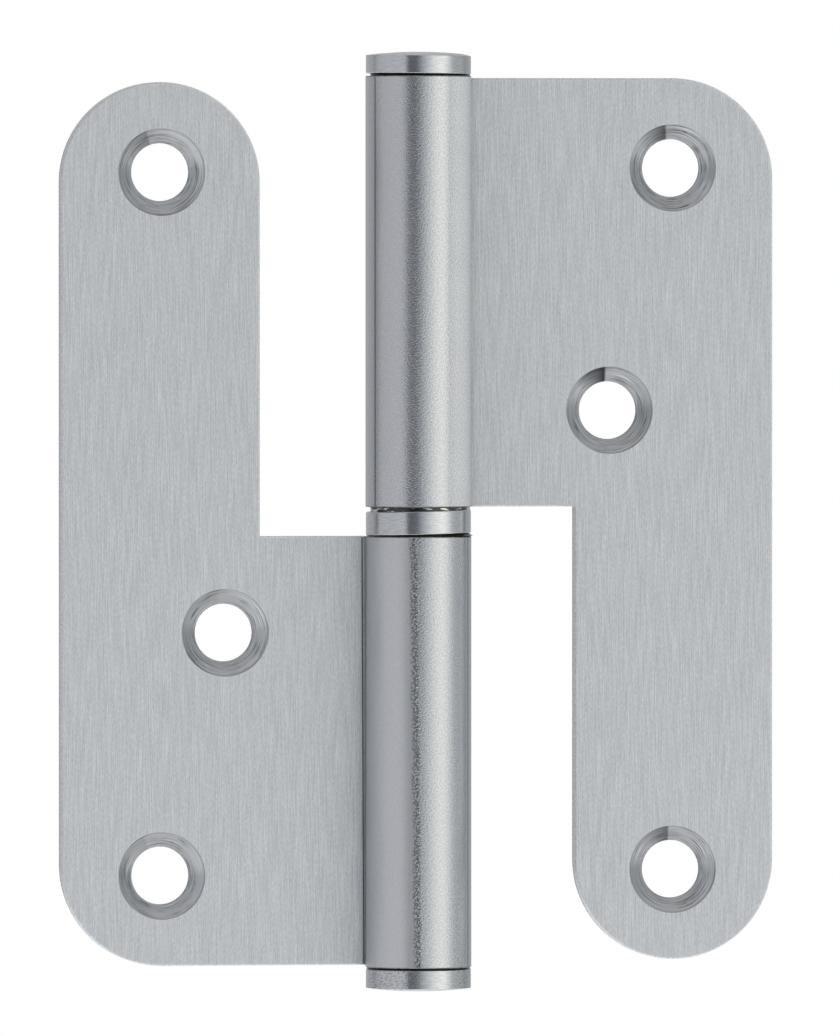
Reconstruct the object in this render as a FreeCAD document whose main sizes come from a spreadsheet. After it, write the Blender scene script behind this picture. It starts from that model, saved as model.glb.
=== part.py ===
import FreeCAD, Part
import math
import os
import Sketcher

# Lift-off hinge of brushed stainless steel, in millimetres.
# +Z runs up along the pin, +X points from the pin to the door leaf, and -Y is the side that the
# screws go in from. The origin is on the pin's axis at the middle of the hinge's height.

document = FreeCAD.newDocument("LiftOffHinge")

# Driving dimensions
SIZES = [
    # the sheet and the flat leaf
    ("sheet_thickness", 2.5),
    ("leaf_height", 110.0),
    ("leaf_reach", 44.7),            # from the pin's axis to the leaf's outer edge
    ("leg_width", 24.9),
    ("corner_radius", 12.6),
    ("edge_rounding", 0.2),
    # the rolled knuckle and the crank beside it
    ("knuckle_length", 53.45),
    ("knuckle_overhang", 0.25),      # the knuckle stands past the leaf's outer edge
    ("leaf_offset", 0.85),           # the leaf's front face lies behind the pin's axis
    ("crank_angle", 28.5),           # in degrees, how steeply the neck rises into the roll
    ("crank_bend_radius", 0.5),      # on the hollow side of the bend
    ("seam_gap", 0.15),              # between the roll's free end and the neck
    ("seam_rounding", 0.25),
    ("knuckle_chamfer", 0.15),
    # screw holes
    ("screw_hole_diameter", 7.2),
    ("countersink_diameter", 10.8),
    ("countersink_angle", 90.0),
    ("screw_pitch", 87.6),           # between the two outer holes
    ("screw_hole_inset", 12.6),      # from the leaf's outer edge to the outer holes
    ("middle_hole_height", 13.55),   # off the leaf's middle, towards its knuckle end
    ("middle_hole_inset", 7.95),     # off the line of the outer holes, towards the knuckle
    # the pin
    ("pin_diameter", 8.0),
    ("running_clearance", 0.1),      # on the radius
    ("press_length", 38.0),          # the thicker shank that holds in the lower knuckle
    ("shoulder_height", 0.3),
    ("pin_tip_radius", 8.0),
    ("pin_end_chamfer", 0.5),
    ("thrust_gap", 0.05),            # between the pin's tip and the upper plug
    ("pin_foot_gap", 0.2),           # between the pin's foot and the lower plug
    # the bearing ring
    ("ring_height", 3.0),
    ("ring_boss_height", 0.4),       # above the ring, round the pin
    ("ring_seat_gap", 0.05),
    ("ring_bore_clearance", 0.15),
    ("ring_setback", 0.05),          # the ring's rim lies inside the knuckle's
    ("ring_chamfer", 0.18),
    ("lift_gap", 0.6),               # between the ring and the upper knuckle
    # the end plugs
    ("plug_head_height", 2.4),
    ("plug_crown", 0.4),
    ("plug_setback", 0.05),
    ("plug_gap", 0.2),               # between the head and the knuckle
    ("shoulder_radius", 5.6),        # of the plugs' shoulders and the ring's boss
    ("shoulder_gap", 0.05),          # between a plug's shoulder and the knuckle
    ("spigot_length", 8.0),
    ("spigot_chamfer", 0.6),
]

sheet = document.addObject("Spreadsheet::Sheet", "Sizes")
for row, (alias, value) in enumerate(SIZES, start=1):
    cell = "B{}".format(row)
    sheet.set("A{}".format(row), alias)
    sheet.set(cell, str(value))
    sheet.setAlias(cell, alias)
document.recompute()

# Sizes that follow from the driving ones, as expressions for the document
BORE_RADIUS = "(Sizes.pin_diameter / 2 + Sizes.running_clearance)"
KNUCKLE_RADIUS = "({} + Sizes.sheet_thickness)".format(BORE_RADIUS)
CRANK_ANGLE = "(Sizes.crank_angle * 1 deg)"
NECK_START = (
    "(({bore} - Sizes.leaf_offset * cos({angle})) / sin({angle})"
    " + (Sizes.crank_bend_radius + Sizes.sheet_thickness) * tan({angle} / 2))"
).format(bore=BORE_RADIUS, angle=CRANK_ANGLE)
SEAM_ANGLE = "(270 deg - {} - acos(({} - Sizes.seam_gap / 2) / {}))".format(
    CRANK_ANGLE, BORE_RADIUS, KNUCKLE_RADIUS
)
HALF_SPACE = "((Sizes.ring_seat_gap + Sizes.ring_height + Sizes.lift_gap) / 2)"
KNUCKLE_END = "({} + Sizes.knuckle_length + Sizes.knuckle_overhang)".format(HALF_SPACE)
SPIGOT_END = "({} + Sizes.plug_gap - Sizes.spigot_length)".format(KNUCKLE_END)
PLUG_RADIUS = "({} - Sizes.plug_setback)".format(KNUCKLE_RADIUS)
SHOULDER_FACE = "(Sizes.shoulder_gap - Sizes.plug_gap)"
CROWN_RADIUS = "(({width} ^ 2 + Sizes.plug_crown ^ 2) / (2 * Sizes.plug_crown))".format(
    width=PLUG_RADIUS
)
PIN_RADIUS = "(Sizes.pin_diameter / 2)"
PIN_FOOT = "(-{} + Sizes.pin_foot_gap)".format(SPIGOT_END)
PIN_TIP = "({} - Sizes.thrust_gap)".format(SPIGOT_END)
PIN_TIP_HEIGHT = "(Sizes.pin_tip_radius - sqrt(Sizes.pin_tip_radius ^ 2 - {} ^ 2))".format(PIN_RADIUS)
RING_INNER = "({} + Sizes.ring_bore_clearance)".format(PIN_RADIUS)
RING_OUTER = "({} - Sizes.ring_setback)".format(KNUCKLE_RADIUS)
BOSS_TOP = "(Sizes.ring_height + Sizes.ring_boss_height)"

START, END, CENTRE = range(1, 4)     # the named points of a sketch's line or arc
ORIGIN = (-1, 1)                     # the sketch's own origin
UPRIGHT_AXIS = (-2,)                 # the sketch's own upright axis
FLAT = FreeCAD.Vector(0, 0, 1)


def number(expression):
    """The present value of an expression of the sheet."""
    value = sheet.evalExpression(expression)
    return float(getattr(value, "Value", value))


def point(x, y):
    return FreeCAD.Vector(x, y, 0)


def line(first, last):
    return Part.LineSegment(first, last)


def arc(centre, radius, first_degrees, last_degrees):
    """An arc that runs anticlockwise from the first angle to the last."""
    circle = Part.Circle(centre, FLAT, radius)
    return Part.ArcOfCircle(circle, math.radians(first_degrees), math.radians(last_degrees))


def new_body(name):
    body = document.addObject("PartDesign::Body", name)
    body.Label = name
    return body


def new_sketch(body, name, role, offset=None):
    """A sketch on one of the body's own planes, moved along its normal by an expression."""
    plane = [feature for feature in body.Origin.OriginFeatures if feature.Role == role][0]
    sketch = body.newObject("Sketcher::SketchObject", name)
    sketch.AttachmentSupport = (plane, [""])
    sketch.MapMode = "FlatFace"
    if offset is not None:
        sketch.setExpression("AttachmentOffset.Base.z", offset)
    return sketch


def tie(sketch, kind, *arguments):
    sketch.addConstraint(Sketcher.Constraint(kind, *arguments))


def size(sketch, name, expression, kind, *arguments):
    """A named dimension of the sketch, bound to the sheet."""
    value = number(expression)
    if kind == "Angle":
        value = math.radians(value)
    index = sketch.addConstraint(Sketcher.Constraint(kind, *arguments, value))
    sketch.renameConstraint(index, name)
    sketch.setExpression("Constraints." + name, expression)


def place(sketch, name, geometry, corner, across, up):
    """Fixes one point of the sketch by its two distances from the origin."""
    size(sketch, name + "_across", across, "DistanceX", *ORIGIN, geometry, corner)
    size(sketch, name + "_up", up, "DistanceY", *ORIGIN, geometry, corner)


def draw_profile(sketch, corners):
    """A closed outline of straight lines; each corner is a name and two expressions."""
    spots = [point(number(across), number(up)) for _, across, up in corners]
    sides = [
        sketch.addGeometry(line(spot, following), False)
        for spot, following in zip(spots, spots[1:] + spots[:1])
    ]
    for side, following in zip(sides, sides[1:] + sides[:1]):
        tie(sketch, "Coincident", side, END, following, START)
    for side, (name, across, up) in zip(sides, corners):
        place(sketch, name, side, START, across, up)


def crown_profile(sketch, corners, radius):
    """The same outline, whose last side is an arc about the turning axis that ends on the axis."""
    spots = [point(number(across), number(up)) for _, across, up in corners]
    count = len(corners)
    for index in range(count - 2):
        sketch.addGeometry(line(spots[index], spots[index + 1]), False)
    rim = spots[count - 2]
    top = spots[count - 1]
    bulge = number(radius)
    centre = point(0, top.y - bulge)
    rim_angle = math.degrees(math.atan2(rim.y - centre.y, rim.x))
    crown = sketch.addGeometry(arc(centre, bulge, rim_angle, 90), False)
    axis = sketch.addGeometry(line(top, spots[0]), False)
    for index in range(crown - 1):
        tie(sketch, "Coincident", index, END, index + 1, START)
    tie(sketch, "Coincident", crown - 1, END, crown, START)
    tie(sketch, "Coincident", crown, END, axis, START)
    tie(sketch, "Coincident", axis, END, 0, START)
    for index, (name, across, up) in enumerate(corners[:-2]):
        place(sketch, name, index, START, across, up)
    name, across, up = corners[-2]
    place(sketch, name, crown, START, across, up)
    tie(sketch, "PointOnObject", crown, CENTRE, *UPRIGHT_AXIS)
    tie(sketch, "PointOnObject", crown, END, *UPRIGHT_AXIS)
    size(sketch, "crown_radius", radius, "Radius", crown)


def turn(body, sketch):
    """Revolves a half section about the Z axis."""
    turned = body.newObject("PartDesign::Revolution", "Turned")
    turned.Profile = sketch
    turned.ReferenceAxis = (sketch, ["V_Axis"])
    turned.Angle = 360
    document.recompute()
    return turned


def turned_cut(body, name, sketch):
    """Cuts a half section out all the way round the Z axis."""
    cut = body.newObject("PartDesign::Groove", name)
    cut.Profile = sketch
    cut.ReferenceAxis = (sketch, ["V_Axis"])
    cut.Angle = 360
    document.recompute()
    return cut


def extrude(body, name, sketch, length, reversed_way=False):
    pad = body.newObject("PartDesign::Pad", name)
    pad.Profile = sketch
    pad.setExpression("Length", length)
    pad.Reversed = reversed_way
    document.recompute()
    return pad


def edges_where(feature, wanted):
    """Names of the feature's edges that pass a test."""
    return [
        "Edge{}".format(index)
        for index, edge in enumerate(feature.Shape.Edges, start=1)
        if wanted(edge)
    ]


def draw_leaf_outline(sketch):
    """The flat leaf: a leg with a round end, one rounded corner and a sharp step at the knuckle."""
    half_height = number("Sizes.leaf_height") / 2
    reach = number("Sizes.leaf_reach")
    leg = number("Sizes.leg_width")
    corner = number("Sizes.corner_radius")
    neck = number(NECK_START)
    step = number("Sizes.knuckle_length") - half_height
    shoulder = half_height - leg / 2

    bottom = sketch.addGeometry(
        line(point(-neck, -half_height), point(corner - reach, -half_height)), False
    )
    rounded = sketch.addGeometry(
        arc(point(corner - reach, corner - half_height), corner, 180, 270), False
    )
    outer = sketch.addGeometry(
        line(point(-reach, corner - half_height), point(-reach, shoulder)), False
    )
    end = sketch.addGeometry(arc(point(leg / 2 - reach, shoulder), leg / 2, 0, 180), False)
    inner = sketch.addGeometry(
        line(point(leg - reach, shoulder), point(leg - reach, step)), False
    )
    ledge = sketch.addGeometry(line(point(leg - reach, step), point(-neck, step)), False)
    root = sketch.addGeometry(line(point(-neck, step), point(-neck, -half_height)), False)

    tie(sketch, "Tangent", bottom, END, rounded, END)
    tie(sketch, "Tangent", rounded, START, outer, START)
    tie(sketch, "Tangent", outer, END, end, END)
    tie(sketch, "Tangent", end, START, inner, START)
    tie(sketch, "Coincident", inner, END, ledge, START)
    tie(sketch, "Coincident", ledge, END, root, START)
    tie(sketch, "Coincident", root, END, bottom, START)
    for level in (bottom, ledge):
        tie(sketch, "Horizontal", level)
    for upright in (outer, inner, root):
        tie(sketch, "Vertical", upright)

    place(sketch, "root_corner", root, END, "-" + NECK_START, "-Sizes.leaf_height / 2")
    size(sketch, "step_height", "Sizes.knuckle_length", "DistanceY", bottom, START, root, START)
    size(sketch, "reach", "-Sizes.leaf_reach", "DistanceX", *ORIGIN, outer, START)
    size(sketch, "leg", "Sizes.leg_width", "DistanceX", outer, END, inner, START)
    size(sketch, "corner", "Sizes.corner_radius", "Radius", rounded)
    size(
        sketch, "leg_shoulder", "Sizes.leaf_height / 2 - Sizes.leg_width / 2",
        "DistanceY", *ORIGIN, end, CENTRE,
    )


def draw_rolled_section(sketch):
    """The sheet's section beside and round the pin, all of one thickness: it bends back out of the
    leaf's plane, rises along a straight neck, rolls round behind, past and in front of the pin,
    and its square free end stops just short of the neck."""
    sheet_thickness = number("Sizes.sheet_thickness")
    bore = number(BORE_RADIUS)
    rim = number(KNUCKLE_RADIUS)
    front = number("Sizes.leaf_offset")
    hollow = number("Sizes.crank_bend_radius")
    angle = number("Sizes.crank_angle")
    gap = number("Sizes.seam_gap")
    neck = number(NECK_START)

    lean = math.radians(angle)
    tangent_angle = 90 + angle
    tip_angle = tangent_angle + math.degrees(math.acos((bore - gap) / rim)) - 360
    outward = point(math.cos(math.radians(tangent_angle)), math.sin(math.radians(tangent_angle)))
    tip_way = point(math.cos(math.radians(tip_angle)), math.sin(math.radians(tip_angle)))
    bend_centre = point(-neck, front + sheet_thickness + hollow)
    bend_way = point(math.sin(lean), -math.cos(lean))

    front_bend = sketch.addGeometry(
        arc(bend_centre, hollow + sheet_thickness, 270, 270 + angle), False
    )
    front_neck = sketch.addGeometry(
        line(bend_centre + bend_way * (hollow + sheet_thickness), outward * bore), False
    )
    bore_arc = sketch.addGeometry(arc(point(0, 0), bore, tip_angle, tangent_angle), False)
    free_end = sketch.addGeometry(line(tip_way * bore, tip_way * rim), False)
    rim_arc = sketch.addGeometry(arc(point(0, 0), rim, tip_angle, tangent_angle), False)
    back_neck = sketch.addGeometry(line(outward * rim, bend_centre + bend_way * hollow), False)
    back_bend = sketch.addGeometry(arc(bend_centre, hollow, 270, 270 + angle), False)
    root = sketch.addGeometry(
        line(point(-neck, front + sheet_thickness), point(-neck, front)), False
    )

    tie(sketch, "Tangent", front_bend, END, front_neck, START)
    tie(sketch, "Tangent", front_neck, END, bore_arc, END)
    tie(sketch, "Coincident", bore_arc, START, free_end, START)
    tie(sketch, "Coincident", free_end, END, rim_arc, START)
    tie(sketch, "Tangent", rim_arc, END, back_neck, START)
    tie(sketch, "Tangent", back_neck, END, back_bend, END)
    tie(sketch, "Coincident", back_bend, START, root, START)
    tie(sketch, "Coincident", root, END, front_bend, START)
    tie(sketch, "Coincident", bore_arc, CENTRE, *ORIGIN)
    tie(sketch, "Coincident", rim_arc, CENTRE, *ORIGIN)
    tie(sketch, "Coincident", back_bend, CENTRE, front_bend, CENTRE)
    tie(sketch, "Vertical", root)
    tie(sketch, "Vertical", front_bend, CENTRE, root, END)
    tie(sketch, "PointOnObject", *ORIGIN, free_end)

    size(sketch, "bore", BORE_RADIUS, "Radius", bore_arc)
    size(sketch, "rim", KNUCKLE_RADIUS, "Radius", rim_arc)
    size(sketch, "hollow", "Sizes.crank_bend_radius", "Radius", back_bend)
    size(sketch, "front_face", "Sizes.leaf_offset", "DistanceY", *ORIGIN, root, END)
    size(sketch, "thickness", "Sizes.sheet_thickness", "DistanceY", root, END, root, START)
    size(sketch, "neck_start", "-" + NECK_START, "DistanceX", *ORIGIN, root, END)
    size(sketch, "seam", "Sizes.seam_gap", "Distance", rim_arc, START, front_neck)


def make_leaf(name):
    """One leaf with its knuckle at the lower end and its leg upwards, reaching towards -X."""
    body = new_body(name)

    outline = new_sketch(body, name + "_outline", "XZ_Plane", "-Sizes.leaf_offset")
    draw_leaf_outline(outline)
    plate = extrude(body, name + "_plate", outline, "Sizes.sheet_thickness", True)

    # The rolled rim that the punch leaves round the front, apart from the end that runs on into
    # the neck; the back's rim stays sharp
    neck = number(NECK_START)
    front = number("Sizes.leaf_offset")
    tolerance = 1e-4

    def is_rim(edge):
        box = edge.BoundBox
        on_front = box.YLength < tolerance and abs(box.YMax - front) < tolerance
        at_neck = box.XLength < tolerance and abs(box.XMax + neck) < tolerance
        return on_front and not at_neck

    rounding = body.newObject("PartDesign::Fillet", name + "_rounding")
    rounding.Base = (plate, edges_where(plate, is_rim))
    rounding.setExpression("Radius", "Sizes.edge_rounding")
    document.recompute()

    section = new_sketch(
        body, name + "_section", "XY_Plane", "-Sizes.leaf_height / 2 - Sizes.knuckle_overhang"
    )
    draw_rolled_section(section)
    knuckle = extrude(
        body, name + "_knuckle", section, "Sizes.knuckle_length + Sizes.knuckle_overhang"
    )

    # The free end's outer edge beside the seam
    rim = number(KNUCKLE_RADIUS)

    def is_seam_edge(edge):
        box = edge.BoundBox
        upright = box.XLength < tolerance and box.YLength < tolerance
        spot = edge.Vertexes[0].Point
        on_rim = abs(math.hypot(spot.x, spot.y) - rim) < tolerance
        return upright and on_rim and spot.x < 0 and spot.y < number("Sizes.leaf_offset") + 1

    seam = body.newObject("PartDesign::Fillet", name + "_seam")
    seam.Base = (knuckle, edges_where(knuckle, is_seam_edge))
    seam.setExpression("Radius", "Sizes.seam_rounding")
    document.recompute()

    # The outer end is faced: the neck beside the knuckle ends level with the leaf, and the rim
    # gets a small bevel
    facing = new_sketch(body, name + "_facing", "XZ_Plane")
    outer_end = "(-Sizes.leaf_height / 2 - Sizes.knuckle_overhang)"
    beyond_neck = "({} + 2 * Sizes.sheet_thickness)".format(KNUCKLE_RADIUS)
    inset = "({} - Sizes.knuckle_chamfer)".format(KNUCKLE_RADIUS)
    draw_profile(facing, [
        ("inset", inset, outer_end),
        ("end_beyond", beyond_neck, outer_end),
        ("leaf_beyond", beyond_neck, "-Sizes.leaf_height / 2"),
        ("leaf_rim", KNUCKLE_RADIUS, "-Sizes.leaf_height / 2"),
        ("bevel_rim", KNUCKLE_RADIUS, outer_end + " + Sizes.knuckle_chamfer"),
    ])
    turned_cut(body, name + "_outer_end", facing)

    # The end by the ring has the same bevel, only as far round as the roll goes: one way to where
    # the neck leaves it, the other way to the middle of the seam
    bevel = new_sketch(body, name + "_bevel", "XZ_Plane")
    ring_end = "(Sizes.knuckle_length - Sizes.leaf_height / 2)"
    draw_profile(bevel, [
        ("side", KNUCKLE_RADIUS, ring_end + " - Sizes.knuckle_chamfer"),
        ("rim", KNUCKLE_RADIUS, ring_end),
        ("inset", inset, ring_end),
    ])
    bevelled = turned_cut(body, name + "_ring_end", bevel)
    bevelled.Type = "TwoAngles"
    bevelled.setExpression("Angle", "90 deg + " + CRANK_ANGLE)
    bevelled.setExpression("Angle2", SEAM_ANGLE)
    document.recompute()

    # Countersunk screw holes, from the front
    holes = new_sketch(body, name + "_hole_centres", "XZ_Plane", "-Sizes.leaf_offset")
    hole_line = "-(Sizes.leaf_reach - Sizes.screw_hole_inset)"
    centres = [
        ("leg_hole", hole_line, "Sizes.screw_pitch / 2"),
        ("middle_hole", hole_line + " + Sizes.middle_hole_inset", "-Sizes.middle_hole_height"),
        ("corner_hole", hole_line, "-Sizes.screw_pitch / 2"),
    ]
    for hole_name, across, up in centres:
        spot = point(number(across), number(up))
        circle = Part.Circle(spot, FLAT, number("Sizes.screw_hole_diameter") / 2)
        index = holes.addGeometry(circle, False)
        place(holes, hole_name, index, CENTRE, across, up)
        size(holes, hole_name + "_diameter", "Sizes.screw_hole_diameter", "Diameter", index)
    document.recompute()
    drilled = body.newObject("PartDesign::Hole", name + "_screw_holes")
    drilled.Profile = holes
    drilled.DepthType = "ThroughAll"
    drilled.Threaded = False
    drilled.HoleCutType = "Countersink"
    drilled.HoleCutCustomValues = True
    drilled.setExpression("Diameter", "Sizes.screw_hole_diameter")
    drilled.setExpression("HoleCutDiameter", "Sizes.countersink_diameter")
    drilled.setExpression("HoleCutCountersinkAngle", "Sizes.countersink_angle")
    document.recompute()
    return body


def make_plug(name):
    """A turned plug: a crowned head over the knuckle's end, a shoulder and a spigot in its bore."""
    body = new_body(name)
    sketch = new_sketch(body, name + "_half_section", "XZ_Plane")
    crown_profile(sketch, [
        ("foot", "0", "-Sizes.spigot_length"),
        ("foot_rim", BORE_RADIUS + " - Sizes.spigot_chamfer", "-Sizes.spigot_length"),
        ("foot_side", BORE_RADIUS, "-Sizes.spigot_length + Sizes.spigot_chamfer"),
        ("neck", BORE_RADIUS, SHOULDER_FACE),
        ("shoulder", "Sizes.shoulder_radius", SHOULDER_FACE),
        ("shoulder_top", "Sizes.shoulder_radius", "0"),
        ("rim_low", PLUG_RADIUS, "0"),
        ("crown_rim", PLUG_RADIUS, "Sizes.plug_head_height"),
        ("crown_top", "0", "Sizes.plug_head_height + Sizes.plug_crown"),
    ], CROWN_RADIUS)
    turn(body, sketch)
    return body


def make_ring(name):
    """The bearing ring between the knuckles, chamfered outside, with a low boss on top."""
    body = new_body(name)
    sketch = new_sketch(body, name + "_half_section", "XZ_Plane")
    bevel = " Sizes.ring_chamfer"
    draw_profile(sketch, [
        ("low_inner", RING_INNER, "0"),
        ("low_outer", RING_OUTER + " -" + bevel, "0"),
        ("rim_low", RING_OUTER, "Sizes.ring_chamfer"),
        ("rim_high", RING_OUTER, "Sizes.ring_height - Sizes.ring_chamfer"),
        ("high_outer", RING_OUTER + " -" + bevel, "Sizes.ring_height"),
        ("boss_foot", "Sizes.shoulder_radius", "Sizes.ring_height"),
        ("boss_rim", "Sizes.shoulder_radius", BOSS_TOP),
        ("boss_inner", RING_INNER, BOSS_TOP),
    ])
    turn(body, sketch)
    return body


def make_pin(name):
    """The pin: a thicker shank pressed into the lower knuckle, a running length and a domed tip."""
    body = new_body(name)
    sketch = new_sketch(body, name + "_half_section", "XZ_Plane")
    crown_profile(sketch, [
        ("foot", "0", PIN_FOOT),
        ("foot_rim", BORE_RADIUS + " - Sizes.pin_end_chamfer", PIN_FOOT),
        ("foot_side", BORE_RADIUS, PIN_FOOT + " + Sizes.pin_end_chamfer"),
        ("shank_top", BORE_RADIUS, PIN_FOOT + " + Sizes.press_length"),
        ("shoulder", PIN_RADIUS, PIN_FOOT + " + Sizes.press_length + Sizes.shoulder_height"),
        ("tip_rim", PIN_RADIUS, "{} - {}".format(PIN_TIP, PIN_TIP_HEIGHT)),
        ("tip", "0", PIN_TIP),
    ], "Sizes.pin_tip_radius")
    turn(body, sketch)
    return body


upside_down = FreeCAD.Rotation(FreeCAD.Vector(0, 1, 0), 180)
LEAF_LIFT = "(Sizes.knuckle_length + {} - Sizes.leaf_height / 2)".format(HALF_SPACE)

lower_leaf = make_leaf("lower_leaf")
lower_leaf.setExpression("Placement.Base.z", "-" + LEAF_LIFT)

upper_leaf = make_leaf("upper_leaf")
upper_leaf.Placement.Rotation = upside_down
upper_leaf.setExpression("Placement.Base.z", LEAF_LIFT)

hinge_pin = make_pin("hinge_pin")

bearing_ring = make_ring("bearing_ring")
bearing_ring.setExpression("Placement.Base.z", "-{} + Sizes.ring_seat_gap".format(HALF_SPACE))

upper_cap = make_plug("upper_cap")
upper_cap.setExpression("Placement.Base.z", KNUCKLE_END + " + Sizes.plug_gap")

lower_cap = make_plug("lower_cap")
lower_cap.Placement.Rotation = upside_down
lower_cap.setExpression("Placement.Base.z", "-{} - Sizes.plug_gap".format(KNUCKLE_END))

document.recompute()

pieces = [lower_leaf, upper_leaf, hinge_pin, bearing_ring, upper_cap, lower_cap]
for item in document.Objects:
    if "Invalid" in item.State or "Error" in item.State:
        raise RuntimeError("{} failed: {}".format(item.Label, item.State))
for piece in pieces:
    shape = piece.Shape
    if shape.isNull() or not shape.isValid() or len(shape.Solids) != 1:
        raise RuntimeError("{} is not one valid solid".format(piece.Label))

os.makedirs("parts", exist_ok=True)
for piece in pieces:
    piece.Shape.exportStep("parts/{}.step".format(piece.Label))
    box = piece.Shape.optimalBoundingBox(False)
    print(
        "{:13s} {:9.2f} mm3  x {:7.2f} {:7.2f}  y {:6.2f} {:6.2f}  z {:7.2f} {:7.2f}".format(
            piece.Label, piece.Shape.Volume,
            box.XMin, box.XMax, box.YMin, box.YMax, box.ZMin, box.ZMax,
        )
    )
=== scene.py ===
import math

import bmesh
import bpy
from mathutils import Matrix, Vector


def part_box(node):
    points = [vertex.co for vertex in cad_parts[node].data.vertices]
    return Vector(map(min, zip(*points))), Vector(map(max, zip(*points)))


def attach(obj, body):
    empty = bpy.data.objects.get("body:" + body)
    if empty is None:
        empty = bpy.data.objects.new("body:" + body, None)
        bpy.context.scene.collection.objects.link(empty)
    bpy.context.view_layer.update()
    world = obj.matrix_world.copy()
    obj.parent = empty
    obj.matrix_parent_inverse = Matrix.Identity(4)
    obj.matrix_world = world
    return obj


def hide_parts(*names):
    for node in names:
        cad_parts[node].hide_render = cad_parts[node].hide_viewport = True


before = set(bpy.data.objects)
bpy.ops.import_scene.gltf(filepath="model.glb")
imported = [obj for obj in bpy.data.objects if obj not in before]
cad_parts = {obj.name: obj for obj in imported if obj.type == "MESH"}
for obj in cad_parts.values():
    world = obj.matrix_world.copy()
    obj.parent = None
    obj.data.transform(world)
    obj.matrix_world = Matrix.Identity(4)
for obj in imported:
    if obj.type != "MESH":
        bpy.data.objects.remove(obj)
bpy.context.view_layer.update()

# A lift-off door hinge of brushed stainless steel: two stamped leaves with rolled knuckles,
# a bearing ring, two end plugs and the pin. Metres, +Z up along the pin, screws from -Y.

MM = 0.001
TURN = 2 * math.pi


def corner(node, which, axis):
    """One coordinate of a node's box: which is 0 for the lowest corner and 1 for the highest."""
    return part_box(node)[which]["xyz".index(axis)]


# The stamped sheet, from the frame where it shows them
KNUCKLE_RADIUS = corner("lower_leaf", 1, "x")
LEAF_REACH = -corner("lower_leaf", 0, "x")
LEG_TOP = corner("lower_leaf", 1, "z")
OUTER_END = corner("lower_leaf", 0, "z")
SHEET = 2.5 * MM
BORE_RADIUS = KNUCKLE_RADIUS - SHEET
KNUCKLE_OVERHANG = 0.25 * MM
LEAF_BOTTOM = OUTER_END + KNUCKLE_OVERHANG
LEAF_MIDDLE = (LEG_TOP + LEAF_BOTTOM) / 2
RING_END = LEAF_BOTTOM + 53.45 * MM
LEG_WIDTH = 24.9 * MM
CORNER_RADIUS = 12.6 * MM
FRONT_ROUNDING = 0.2 * MM
BACK_ROUNDING = 0.05 * MM
KNUCKLE_ROUNDING = 0.14 * MM
TIP_ROUNDING = 0.22 * MM

# How the sheet bends into the knuckle
LEAF_OFFSET = 0.85 * MM
CRANK_ANGLE = math.radians(28.5)
CRANK_RADIUS = 0.5 * MM + SHEET
NECK_START = (
    (BORE_RADIUS - LEAF_OFFSET * math.cos(CRANK_ANGLE)) / math.sin(CRANK_ANGLE)
    + CRANK_RADIUS * math.tan(CRANK_ANGLE / 2)
)
SEAM_GAP = 0.15 * MM
ROLL_ANGLE = TURN - math.acos((BORE_RADIUS - SEAM_GAP) / KNUCKLE_RADIUS)
SEAM_LINE = -6.95 * MM    # where the knuckle's lip comes down on the sheet, at the ring
SEAM_DRIFT = 0.24 * MM    # how much nearer to the pin it does so at the leaf's other end
SHEEN_SIDE_FROM = -29.0     # degrees off the front: from here towards the leaf the knuckle has a painted sheen and shades as a flat
FLATTER_SIDE = 0.2 / MM   # height over way along the bore squared: from there it shades as a flat
DARK_REFLECTION_AT = 62.0          # degrees off the front: here a thin painted reflection of the tent's dark seam runs down the knuckle
CRANK_STEPS = 8
ROLL_STEPS = 110

# The screw holes
HOLE_RADIUS = 3.6 * MM
RIM_RADIUS = 5.4 * MM
HOLE_LINE = 12.6 * MM - LEAF_REACH
HOLE_PITCH = 87.6 * MM
MIDDLE_HOLE_INSET = 7.95 * MM
MIDDLE_HOLE_DROP = 13.55 * MM

# Finishes of a leaf, in the order of its material slots
BRUSHED, GROUND, SHEARED, COUNTERSUNK = range(4)

GRAIN = "grain"          # the UV map of every piece: U across the tool marks, V along them
LAP = "lap_shade"        # how much a countersink's cutter mark darkens a spot
HOLE_SPOT = "hole_spot"  # a place on a countersink from its middle, and a number for the hole
JOINT_SHADE = "joint_shade"          # painted shade in a joint: 1 where solid, and the value below where painted glints of light show in it
GLINTING_SHADE = 0.9
SCUFFED = "scuffed"      # 1 on the leaf with the scuffed knuckle and the painted seam shade, 0 on the other, whose knuckle gets the painted sheen
RUN = "run"              # how far along the flat blank a point lies
FINISH = "finish"        # which of the finishes above a face has
MARKS_TURN = 0.65        # radians between a pattern's own rows and the tool marks
LAP_FADE = 0.13          # of a turn, in which a cutter mark fades


def linear(hex_colour):
    """An sRGB hex colour as linear RGBA."""
    channels = [int(hex_colour[start:start + 2], 16) / 255 for start in (1, 3, 5)]
    return [
        value / 12.92 if value <= 0.04045 else ((value + 0.055) / 1.055) ** 2.4
        for value in channels
    ] + [1.0]


def add_node(tree, kind, inputs=None, **settings):
    """Adds a node; an input is a value, or the output socket that it is linked to."""
    node = tree.nodes.new(kind)
    for name, value in settings.items():
        setattr(node, name, value)
    for name, value in (inputs or {}).items():
        if isinstance(value, bpy.types.NodeSocket):
            tree.links.new(value, node.inputs[name])
        else:
            node.inputs[name].default_value = value
    return node


def new_piece(name, mesh):
    piece = bpy.data.objects.new(name, mesh)
    bpy.context.scene.collection.objects.link(piece)
    return piece


def settle(piece):
    """Turns the piece's modifiers into a plain mesh and takes them off."""
    depsgraph = bpy.context.evaluated_depsgraph_get()
    mesh = bpy.data.meshes.new_from_object(
        piece.evaluated_get(depsgraph), preserve_all_data_layers=True, depsgraph=depsgraph
    )
    piece.modifiers.clear()
    piece.data = mesh
    mesh.name = piece.name


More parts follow.
